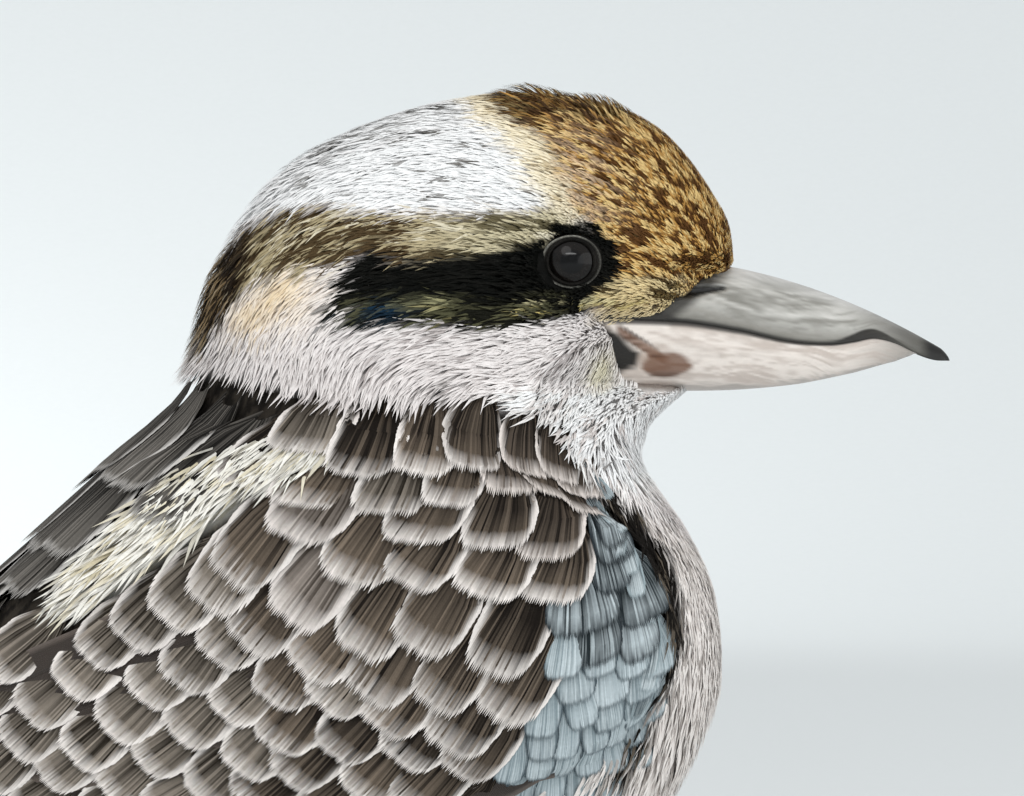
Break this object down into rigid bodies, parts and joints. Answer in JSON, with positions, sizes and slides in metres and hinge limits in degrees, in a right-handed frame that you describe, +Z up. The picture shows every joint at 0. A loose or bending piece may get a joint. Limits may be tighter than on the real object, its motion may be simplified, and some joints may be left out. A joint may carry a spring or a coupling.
{
  "type": "laughing kookaburra",
  "caption": "Life-size still model of a laughing kookaburra standing with folded wings, heavy closed bill, level tail and its feet flat on the ground.",
  "frame": {"origin": "middle of the bounding box, on the ground under the bird", "axes": "+X the way the bird faces, +Y its left side, +Z up"},
  "size_m": [0.3836, 0.1094, 0.236],
  "materials": {
    "pale_plumage": "soft matt feathers, white and cream with brown markings",
    "dark_plumage": "soft matt feathers, dark brown with pale fringes and pale blue coverts",
    "rufous_plumage": "smooth tail feathers, rufous barred with black, white tips",
    "dark_horn": "satin dark horn",
    "pale_horn": "satin pale horn",
    "scaly_skin": "matt scaly skin",
    "claw_horn": "satin black horn",
    "eye": "wet gloss, dark brown"
  },
  "bodies": {
    "root": {"head": "pale_plumage", "neck": "pale_plumage", "trunk": "pale_plumage", "wing_left": "dark_plumage", "wing_right": "dark_plumage", "tail": "rufous_plumage", "thigh_left": "pale_plumage", "thigh_right": "pale_plumage", "bill_upper": "dark_horn", "bill_lower": "pale_horn", "eye_left": "eye", "eye_right": "eye", "tarsus_left": "scaly_skin", "tarsus_right": "scaly_skin", "toe_inner_left": "scaly_skin", "toe_inner_right": "scaly_skin", "toe_middle_left": "scaly_skin", "toe_middle_right": "scaly_skin", "toe_outer_left": "scaly_skin", "toe_outer_right": "scaly_skin", "toe_hind_left": "scaly_skin", "toe_hind_right": "scaly_skin", "claw_inner_left": "claw_horn", "claw_inner_right": "claw_horn", "claw_middle_left": "claw_horn", "claw_middle_right": "claw_horn", "claw_outer_left": "claw_horn", "claw_outer_right": "claw_horn", "claw_hind_left": "claw_horn", "claw_hind_right": "claw_horn"}
  },
  "joints": []
}
